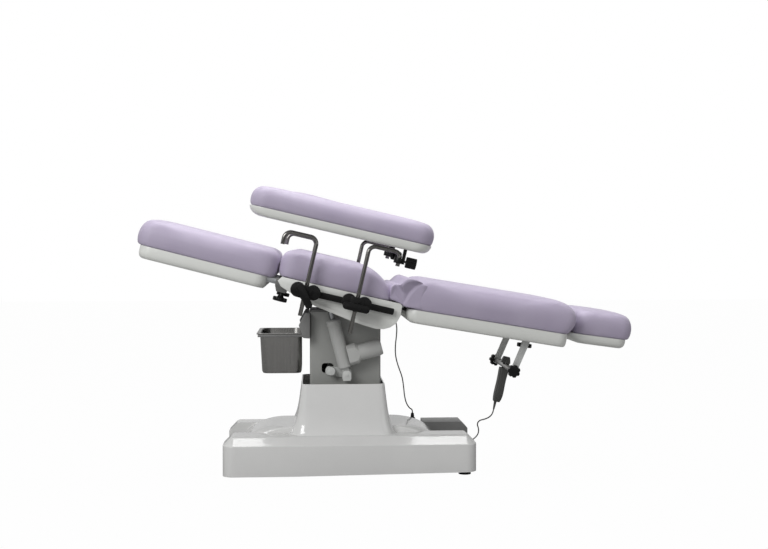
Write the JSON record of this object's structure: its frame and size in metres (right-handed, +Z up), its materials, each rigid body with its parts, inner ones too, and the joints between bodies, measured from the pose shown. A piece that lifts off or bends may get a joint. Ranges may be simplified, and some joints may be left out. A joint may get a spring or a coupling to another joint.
{
  "type": "gynaecological examination table",
  "caption": "Upholstered examination table on a lifting column, with tilting seat, raising back, sliding leg and head sections, clamped side rods and a steel basin.",
  "frame": {"origin": "on the floor under the centre of the table's outer box", "axes": "+X towards the head end, +Y towards the far side of the picture, +Z up"},
  "size_m": [1.9045, 0.8934, 1.1036],
  "materials": {
    "gelcoat": "smooth gloss moulded shell",
    "frame_grey": "grey powder coat",
    "rubber": "black rubber",
    "dark_box": "dark grey sheet",
    "black": "black moulded plastic",
    "cord_grey": "grey jacket",
    "zinc": "bright zinc plate",
    "cover_grey": "light grey textured sheet",
    "steel": "brushed stainless steel",
    "frame_white": "white powder coat",
    "drive_grey": "light grey moulded housing",
    "rail_black": "black satin coat",
    "board_white": "satin moulded board",
    "lilac": "lilac leatherette with a soft grain"
  },
  "bodies": {
    "base": {"base_cover": "gelcoat", "base_frame": "frame_grey", "levelling_feet": "rubber", "control_box": "dark_box", "mast_guide": "frame_grey", "cable_glands": "black", "seat_cord": "cord_grey", "handset_cord": "cord_grey"},
    "carriage": {"mast": "zinc", "column_cover": "cover_grey", "tilt_head": "frame_grey", "tilt_shaft": "steel", "actuator_bracket": "frame_white", "basin_bracket": "dark_box"},
    "basin": {"basin": "steel"},
    "tilt_drive": {"tilt_actuator_tube": "drive_grey", "tilt_actuator_motor": "drive_grey"},
    "tilt_piston": {"tilt_actuator_rod": "zinc"},
    "seat": {"seat_frame": "rail_black", "seat_shell": "board_white", "seat_pad": "lilac", "side_rails": "rail_black", "leg_sockets": "frame_grey", "back_hinge_pins": "zinc", "back_actuator_tube": "drive_grey"},
    "leg_rest": {"leg_board": "board_white", "leg_pad": "lilac", "leg_prongs": "zinc"},
    "leg_knob_near": {"leg_knob_near": "black"},
    "leg_knob_far": {"leg_knob_far": "black"},
    "back": {"back_frame": "frame_white", "back_board": "board_white", "back_pad": "lilac", "back_gusset": "lilac"},
    "back_piston": {"back_actuator_rod": "zinc"},
    "headrest": {"headrest_board": "board_white", "headrest_pad": "lilac", "headrest_prongs": "zinc"},
    "headrest_knob": {"headrest_knob": "black"},
    "paper_roll_bar": {"paper_roll_bar": "steel", "paper_roll_knobs": "black"},
    "handset": {"handset": "cord_grey"},
    "leg_end_clamp_near": {"leg_end_clamp_near": "black"},
    "leg_end_handle_near": {"leg_end_handle_near": "black"},
    "hook_rod_near": {"hook_rod_near": "steel"},
    "head_end_clamp_near": {"head_end_clamp_near": "black"},
    "head_end_handle_near": {"head_end_handle_near": "black"},
    "rest_rod_near": {"rest_rod_near": "steel"},
    "rest_near": {"rest_shell_near": "board_white", "rest_pad_near": "lilac"},
    "rest_knob_near": {"rest_knob_near": "black"},
    "leg_end_clamp_far": {"leg_end_clamp_far": "black"},
    "leg_end_handle_far": {"leg_end_handle_far": "black"},
    "hook_rod_far": {"hook_rod_far": "steel"},
    "head_end_clamp_far": {"head_end_clamp_far": "black"},
    "head_end_handle_far": {"head_end_handle_far": "black"},
    "rest_rod_far": {"rest_rod_far": "steel"},
    "rest_far": {"rest_shell_far": "board_white", "rest_pad_far": "lilac"},
    "rest_knob_far": {"rest_knob_far": "black"}
  },
  "joints": [
    {"name": "lift", "type": "slide", "parent": "base", "child": "carriage", "axis": [0, 0, 1], "range_m": [0, 0.25]},
    {"name": "basin_pull", "type": "slide", "parent": "carriage", "child": "basin", "axis": [-1, 0, 0], "range_m": [0, 0.08]},
    {"name": "seat_tilt", "type": "hinge", "parent": "carriage", "child": "seat", "pos_m": [-0.085, -0.0093, 0.655], "axis": [0, -1, 0], "range_deg": [0, 20]},
    {"name": "tilt_drive_swing", "type": "hinge", "parent": "carriage", "child": "tilt_drive", "pos_m": [-0.159, -0.1593, 0.384], "axis": [0, -1, 0], "range_deg": [0, 4]},
    {"name": "tilt_piston_stroke", "type": "slide", "parent": "tilt_drive", "child": "tilt_piston", "axis": [0.2497, 0, -0.9683], "range_m": [0, 0.053]},
    {"name": "leg_rest_slide", "type": "slide", "parent": "seat", "child": "leg_rest", "axis": [-0.969, 0, 0.247], "range_m": [0, 0.12]},
    {"name": "leg_knob_near_turn", "type": "hinge", "parent": "seat", "child": "leg_knob_near", "pos_m": [-0.41432, -0.2493, 0.68384], "axis": [0.247, 0, 0.969], "continuous": true},
    {"name": "leg_knob_far_turn", "type": "hinge", "parent": "seat", "child": "leg_knob_far", "pos_m": [-0.41432, 0.2307, 0.68384], "axis": [0.247, 0, 0.969], "continuous": true},
    {"name": "back_raise", "type": "hinge", "parent": "seat", "child": "back", "pos_m": [0.05329, -0.0093, 0.65386], "axis": [0, -1, 0], "range_deg": [0, 55], "deforming": ["back_gusset"]},
    {"name": "back_piston_stroke", "type": "slide", "parent": "seat", "child": "back_piston", "axis": [0.9862, 0, -0.1658], "range_m": [0, 0.056]},
    {"name": "headrest_slide", "type": "slide", "parent": "back", "child": "headrest", "axis": [0.9907, 0, -0.1357], "range_m": [0, 0.08]},
    {"name": "headrest_knob_turn", "type": "hinge", "parent": "back", "child": "headrest_knob", "pos_m": [0.56601, -0.0093, 0.48485], "axis": [0.1357, 0, 0.9907], "continuous": true},
    {"name": "paper_roll_turn", "type": "hinge", "parent": "back", "child": "paper_roll_bar", "pos_m": [0.48265, -0.0093, 0.40033], "axis": [0, 1, 0], "continuous": true},
    {"name": "handset_swing", "type": "hinge", "parent": "back", "child": "handset", "pos_m": [0.48265, -0.0093, 0.40033], "axis": [0, 1, 0], "range_deg": [-30, 30]},
    {"name": "leg_end_clamp_near_slide", "type": "slide", "parent": "seat", "child": "leg_end_clamp_near", "axis": [0.9744, 0, -0.225], "range_m": [0, 0.06]},
    {"name": "leg_end_handle_near_turn", "type": "hinge", "parent": "leg_end_clamp_near", "child": "leg_end_handle_near", "pos_m": [-0.3211, -0.3693, 0.69924], "axis": [0, 1, 0], "continuous": true},
    {"name": "hook_rod_near_slide", "type": "slide", "parent": "leg_end_clamp_near", "child": "hook_rod_near", "axis": [0.225, 0, 0.9744], "range_m": [-0.12, 0]},
    {"name": "head_end_clamp_near_slide", "type": "slide", "parent": "seat", "child": "head_end_clamp_near", "axis": [0.9744, 0, -0.225], "range_m": [-0.06, 0]},
    {"name": "head_end_handle_near_turn", "type": "hinge", "parent": "head_end_clamp_near", "child": "head_end_handle_near", "pos_m": [-0.1311, -0.3693, 0.65538], "axis": [0, 1, 0], "continuous": true},
    {"name": "rest_rod_near_slide", "type": "slide", "parent": "head_end_clamp_near", "child": "rest_rod_near", "axis": [0.225, 0, 0.9744], "range_m": [0, 0.08]},
    {"name": "rest_near_swing", "type": "hinge", "parent": "rest_rod_near", "child": "rest_near", "pos_m": [0.03014, -0.3443, 0.83368], "axis": [-0.225, 0, -0.9744], "range_deg": [-90, 0]},
    {"name": "rest_knob_near_turn", "type": "hinge", "parent": "rest_near", "child": "rest_knob_near", "pos_m": [0.07287, -0.3443, 0.81868], "axis": [0.9744, 0, -0.225], "continuous": true},
    {"name": "leg_end_clamp_far_slide", "type": "slide", "parent": "seat", "child": "leg_end_clamp_far", "axis": [0.9744, 0, -0.225], "range_m": [0, 0.06]},
    {"name": "leg_end_handle_far_turn", "type": "hinge", "parent": "leg_end_clamp_far", "child": "leg_end_handle_far", "pos_m": [-0.3211, 0.3507, 0.69924], "axis": [0, 1, 0], "continuous": true},
    {"name": "hook_rod_far_slide", "type": "slide", "parent": "leg_end_clamp_far", "child": "hook_rod_far", "axis": [0.225, 0, 0.9744], "range_m": [-0.12, 0]},
    {"name": "head_end_clamp_far_slide", "type": "slide", "parent": "seat", "child": "head_end_clamp_far", "axis": [0.9744, 0, -0.225], "range_m": [-0.06, 0]},
    {"name": "head_end_handle_far_turn", "type": "hinge", "parent": "head_end_clamp_far", "child": "head_end_handle_far", "pos_m": [-0.1311, 0.3507, 0.65538], "axis": [0, 1, 0], "continuous": true},
    {"name": "rest_rod_far_slide", "type": "slide", "parent": "head_end_clamp_far", "child": "rest_rod_far", "axis": [0.225, 0, 0.9744], "range_m": [0, 0.08]},
    {"name": "rest_far_swing", "type": "hinge", "parent": "rest_rod_far", "child": "rest_far", "pos_m": [0.03509, 0.3257, 0.85511], "axis": [0.225, 0, 0.9744], "range_deg": [-130, 0]},
    {"name": "rest_knob_far_turn", "type": "hinge", "parent": "rest_far", "child": "rest_knob_far", "pos_m": [0.06756, 0.35463, 0.84249], "axis": [0.7464, 0.6428, -0.1723], "continuous": true}
  ],
  "couplings": [
    {"joint": "tilt_drive_swing", "follows": "seat_tilt", "ratio": 0.188},
    {"joint": "tilt_piston_stroke", "follows": "seat_tilt", "m_per_rad": 0.1465},
    {"joint": "back_piston_stroke", "follows": "back_raise", "m_per_rad": 0.0577}
  ]
}
